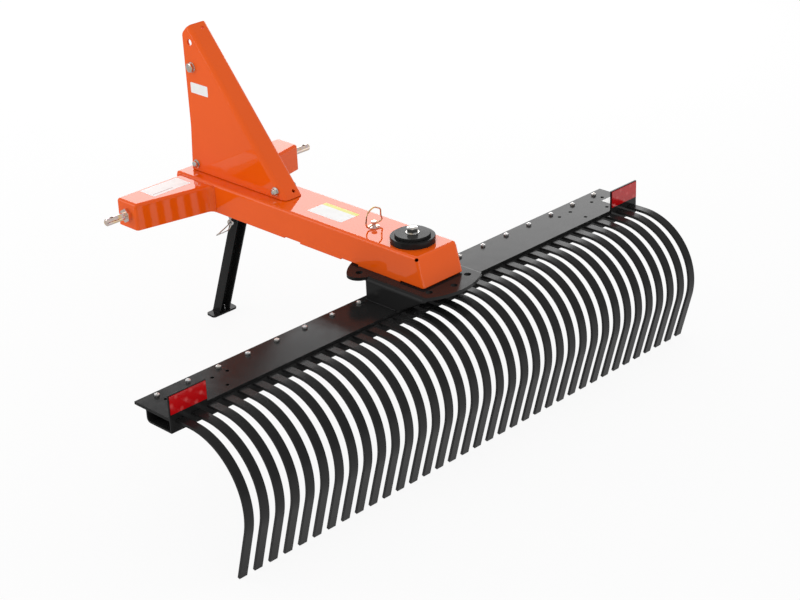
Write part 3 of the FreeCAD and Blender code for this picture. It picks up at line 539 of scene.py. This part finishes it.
STAND_Y, STAND_Z, LINCH_X, LINCH_R, SHOULDER_R = 990.5, 432.93, -40.2, 3.1, 4.2
shape = bmesh.new()
turned(shape, [ring(2.6, -8), ring(SHOULDER_R, -6), ring(SHOULDER_R, -4.6), ring(LINCH_R, -4.2),
               ring(LINCH_R, 13.4), ring(2.2, 15)])
mesh = settled(shape, (LINCH_X, STAND_Y, STAND_Z - 5), "linch_pin")
mesh.materials.append(zinc)
piece("linch_pin", mesh, "frame")
EYE_WIRE, EYE_DROP, EYE_RADII = 6.6, 17, (3.4, 5.8, 6.7)
turns = [2 * math.pi * k / 12 for k in range(12)]
eye = [(LINCH_X + EYE_RADII[0] * math.cos(t), STAND_Y - EYE_RADII[1] * math.cos(t),
        STAND_Z - EYE_DROP + EYE_RADII[2] * math.sin(t)) for t in turns]
piece("linch_eye", wire("linch_eye", eye, EYE_WIRE, True, zinc), "frame")
RING_WIRE = 3.4
bends = [(-40, 990, 416.5), (-56, 986, 412), (-78, 984, 404.5), (-96, 984.5, 397.6),
         (-99.5, 987, 394.5), (-95, 990, 392.6), (-76, 994.5, 390.8), (-56, 998.5, 388.8),
         (-40, 1001, 390.5), (-33.5, 999, 400), (-34.5, 994, 411)]
piece("linch_ring", wire("linch_ring", bends, RING_WIRE, True, zinc), "frame")

# ---- Reflectors --------------------------------------------------------------------------
# Red retroreflecting strips stuck to the posts at the ends of the rake, with a fine prism
# field under a smooth face and paler star marks in staggered rows. The prism cells are a
# bump relief, and their colour is painted lighter at each centre as a painted glint.

PRISMS_PER_M = 330.0
STAR_PITCH, STAR_ROW, STAR_SHIFT, STAR_R = 0.047, 0.019, 0.0157, (0.002, 0.0075)
FIRST_STAR_X, FIRST_STAR_Z = -0.866, 0.416

red, tree = empty_material("reflector_red")
where = make(tree, "ShaderNodeTexCoord").outputs["Object"]
cells = make(tree, "ShaderNodeTexVoronoi",
             {"Vector": where, "Scale": PRISMS_PER_M, "Randomness": 0.0})
glint = spread(tree, cells.outputs["Distance"], 0.0, 0.7, 1.0, 0.0)
axes = make(tree, "ShaderNodeSeparateXYZ", {0: where}).outputs
up = math_node(tree, "SUBTRACT", axes["Z"], FIRST_STAR_Z)
up = math_node(tree, "DIVIDE", up, STAR_ROW)
level = make(tree, "ShaderNodeMath", {0: up}, operation="ROUND").outputs[0]
high = math_node(tree, "MULTIPLY", math_node(tree, "SUBTRACT", up, level), STAR_ROW)
along = math_node(tree, "ADD", axes["X"], -FIRST_STAR_X)
along = math_node(tree, "SUBTRACT", along, math_node(tree, "MULTIPLY", level, STAR_SHIFT))
along = math_node(tree, "DIVIDE", along, STAR_PITCH)
nearest = make(tree, "ShaderNodeMath", {0: along}, operation="ROUND").outputs[0]
wide = math_node(tree, "MULTIPLY", math_node(tree, "SUBTRACT", along, nearest), STAR_PITCH)
spot = make(tree, "ShaderNodeCombineXYZ", {0: wide, 1: high, 2: 0.0})
away = make(tree, "ShaderNodeVectorMath", {0: spot.outputs[0]}, operation="LENGTH").outputs["Value"]
star = spread(tree, away, *STAR_R, 0.36, 0.0)
# Painted glint: each prism cell's colour is lighter towards its centre.
tone = blend_colour(tree, glint, (0.42, 0.002, 0.004, 1), (0.52, 0.006, 0.008, 1))
tone = blend_colour(tree, star, tone, (0.70, 0.13, 0.12, 1))
bump = make(tree, "ShaderNodeBump", {"Strength": 0.3, "Distance": 0.0001, "Height": glint})
surface(tree, {"Base Color": tone, "Roughness": spread(tree, glint, 0, 1, 0.07, 0.12), "IOR": 1.4,
               "Normal": bump.outputs[0]})
dress(red, "reflector_left", "reflector_right")

# ---- Blank labels ------------------------------------------------------------------------
# Printed vinyl labels, left blank: one on the mast, one with a yellow band on the beam, one on
# the left arm and one on the rake plate. Their corners are rounded and they lie flat.


def vinyl(name, colour):
    material, tree = empty_material(name)
    spot = make(tree, "ShaderNodeTexCoord").outputs["Object"]
    fade = spread(tree, noise(tree, spot, 40.0, 3.0), 0.35, 0.65, 0.0, 1.0)
    tone = blend_colour(tree, fade, colour, tuple(0.95 * c for c in colour[:3]) + (1.0,))
    rough = spread(tree, noise(tree, spot, 160.0), 0.3, 0.7, 0.36, 0.44)
    bump = make(tree, "ShaderNodeBump", {"Strength": 0.4, "Distance": 0.00003,
                                         "Height": noise(tree, spot, 700.0)})
    surface(tree, {"Base Color": tone, "Roughness": rough, "IOR": 1.3, "Normal": bump.outputs[0]})
    return material


LABEL_T, GLUE = 0.25, 0.04


def sticker(name, corners, body, material, round_by=3.0, thick=LABEL_T):
    """Thin label over four level corners in mm, given anticlockwise as seen from outside."""
    shape = bmesh.new()
    face = shape.faces.new([shape.verts.new(c) for c in corners])
    face.normal_update()
    out = face.normal.copy()
    bmesh.ops.bevel(shape, geom=shape.verts[:], offset=round_by, segments=4, profile=0.5,
                    affect="VERTICES")
    lifted = bmesh.ops.extrude_face_region(shape, geom=shape.faces[:])["geom"]
    top = [v for v in lifted if isinstance(v, bmesh.types.BMVert)]
    bmesh.ops.translate(shape, verts=top, vec=out * thick)
    bmesh.ops.translate(shape, verts=shape.verts, vec=out * GLUE)
    bmesh.ops.recalc_face_normals(shape, faces=shape.faces)
    mesh = settled(shape, (0, 0, 0), name)
    mesh.materials.append(material)
    piece(name, mesh, body)


def level_corners(x0, x1, y0, y1, z):
    return [(x0, y0, z), (x1, y0, z), (x1, y1, z), (x0, y1, z)]


blank = vinyl("blank_vinyl", (0.90, 0.90, 0.89, 1))
yellow = vinyl("yellow_vinyl", (0.88, 0.84, 0.24, 1))
dark_red = vinyl("dark_red_print", (0.26, 0.06, 0.05, 1))
on_mast = [(-MAST_SIDE, y, z) for y, z in ((1129, 800), (1051, 800), (1051, 832.5), (1129, 832.5))]
sticker("mast_label", on_mast, "frame", blank)
sticker("beam_label", level_corners(-38, 22, 498, 639, BEAM_TOP), "frame", blank)
sticker("beam_label_band", level_corners(22.2, 38, 498, 639, BEAM_TOP), "frame", yellow)
sticker("arm_label", level_corners(-245, -104, 1083, 1153, ARM_TOP), "frame", blank)
sticker("arm_label_line", level_corners(-238, -163, 1097, 1099, ARM_TOP + LABEL_T), "frame",
        dark_red, round_by=0.4, thick=0.08)
sticker("rake_label", level_corners(844, 905, 215, 271, RAKE_TOP), "rake", blank)

# ---- Floor, light and camera -------------------------------------------------------------
# A plain pale floor that runs out to white, an even sky, a wide soft box ahead and to the
# right, which the tops of the machine mirror, and a weaker one on each of the other sides.

FLOOR_REACH = 14.0
floor = bpy.data.objects.new("floor", bpy.data.meshes.new("floor"))
shape = bmesh.new()
bmesh.ops.create_grid(shape, x_segments=1, y_segments=1, size=FLOOR_REACH)
shape.to_mesh(floor.data)
shape.free()
bpy.context.scene.collection.objects.link(floor)
white, tree = empty_material("floor_white")
where = make(tree, "ShaderNodeTexCoord").outputs["Object"]
tone = blend_colour(tree, noise(tree, where, 3.0), (0.84, 0.84, 0.84, 1), (0.86, 0.86, 0.86, 1))
paper = make(tree, "ShaderNodeBsdfDiffuse", {"Color": tone})
seen = make(tree, "ShaderNodeLightPath").outputs
across = make(tree, "ShaderNodeSeparateXYZ", {0: where}).outputs
behind = spread(tree, across["Y"], -1.1, 0.5, 0.85, 0.0)
beside = spread(tree, across["X"], -1.4, -0.7, -0.45, 1.0)
brighter = math_node(tree, "MULTIPLY", behind, beside)
mirrored = math_node(tree, "ADD", brighter, 0.55)
strength = make(tree, "ShaderNodeMix", {0: seen["Is Glossy Ray"], 2: 1.0, 3: mirrored},
                data_type="FLOAT")
glow = make(tree, "ShaderNodeEmission", {"Color": (1, 1, 1, 1), "Strength": strength.outputs[0]})
direct = math_node(tree, "MAXIMUM", seen["Is Camera Ray"], seen["Is Glossy Ray"])
direct = math_node(tree, "MAXIMUM", direct, seen["Is Transmission Ray"])
washed_out = make(tree, "ShaderNodeMixShader", {0: math_node(tree, "MULTIPLY", direct, 0.9),
                                                1: paper.outputs[0], 2: glow.outputs[0]})
make(tree, "ShaderNodeOutputMaterial", {"Surface": washed_out.outputs[0]})
floor.data.materials.append(white)

scene = bpy.context.scene
scene.view_settings.view_transform = "Standard"
world = bpy.data.worlds.new("studio")
scene.world = world
world.use_nodes = True
tree = world.node_tree
tree.nodes.clear()
seen = make(tree, "ShaderNodeLightPath").outputs
direct = math_node(tree, "MAXIMUM", seen["Is Camera Ray"], seen["Is Transmission Ray"])
LIT, SEEN, MIRRORED = 0.80, 1.0, 0.65
sky = make(tree, "ShaderNodeMix", {0: direct, 2: LIT, 3: SEEN}, data_type="FLOAT")
sky = make(tree, "ShaderNodeMix", {0: seen["Is Glossy Ray"], 2: sky.outputs[0], 3: MIRRORED},
           data_type="FLOAT")
background = make(tree, "ShaderNodeBackground", {"Color": (1, 1, 1, 1), "Strength": sky.outputs[0]})
make(tree, "ShaderNodeOutputWorld", {"Surface": background.outputs[0]})


def soft_box(name, spot, target, width, height, radiance):
    data = bpy.data.lights.new(name, "AREA")
    data.shape = "RECTANGLE"
    data.size, data.size_y = width, height
    data.energy = radiance * math.pi * width * height
    lamp = bpy.data.objects.new(name, data)
    back = (Vector(spot) - Vector(target)).normalized()
    side = Vector((0, 0, 1)).cross(back).normalized()
    turn = Matrix((side, back.cross(side), back)).transposed()
    lamp.matrix_world = Matrix.Translation(spot) @ turn.to_4x4()
    lamp.visible_camera = False
    scene.collection.objects.link(lamp)
    return lamp


soft_box("soft_box", (2.6, 2.75, 1.45), (0, 0.2, 0.5), width=3.8, height=1.5, radiance=2.9)
soft_box("fill", (-3.0, 2.6, 1.9), (0, 0.2, 0.6), width=3.0, height=2.6, radiance=1.4)
soft_box("rear_fill", (-0.8, -4.8, 1.3), (0, 0.2, 0.5), width=2.6, height=1.8, radiance=1.2)

AZIMUTH, ELEVATION, CAMERA_SPOT = -45.30, 27.52, (-3.3607, -3.5863, 2.7937)
camera = bpy.data.objects.new("camera", bpy.data.cameras.new("camera"))
camera.data.lens = 85.0
camera.data.sensor_width = 36.0
aside = Matrix.Rotation(math.radians(AZIMUTH), 3, "Z")
turn = aside @ Matrix.Rotation(math.radians(90 - ELEVATION), 3, "X")
camera.matrix_world = Matrix.Translation(CAMERA_SPOT) @ turn.to_4x4()
camera.data.clip_end = 60.0
scene.collection.objects.link(camera)
scene.camera = camera
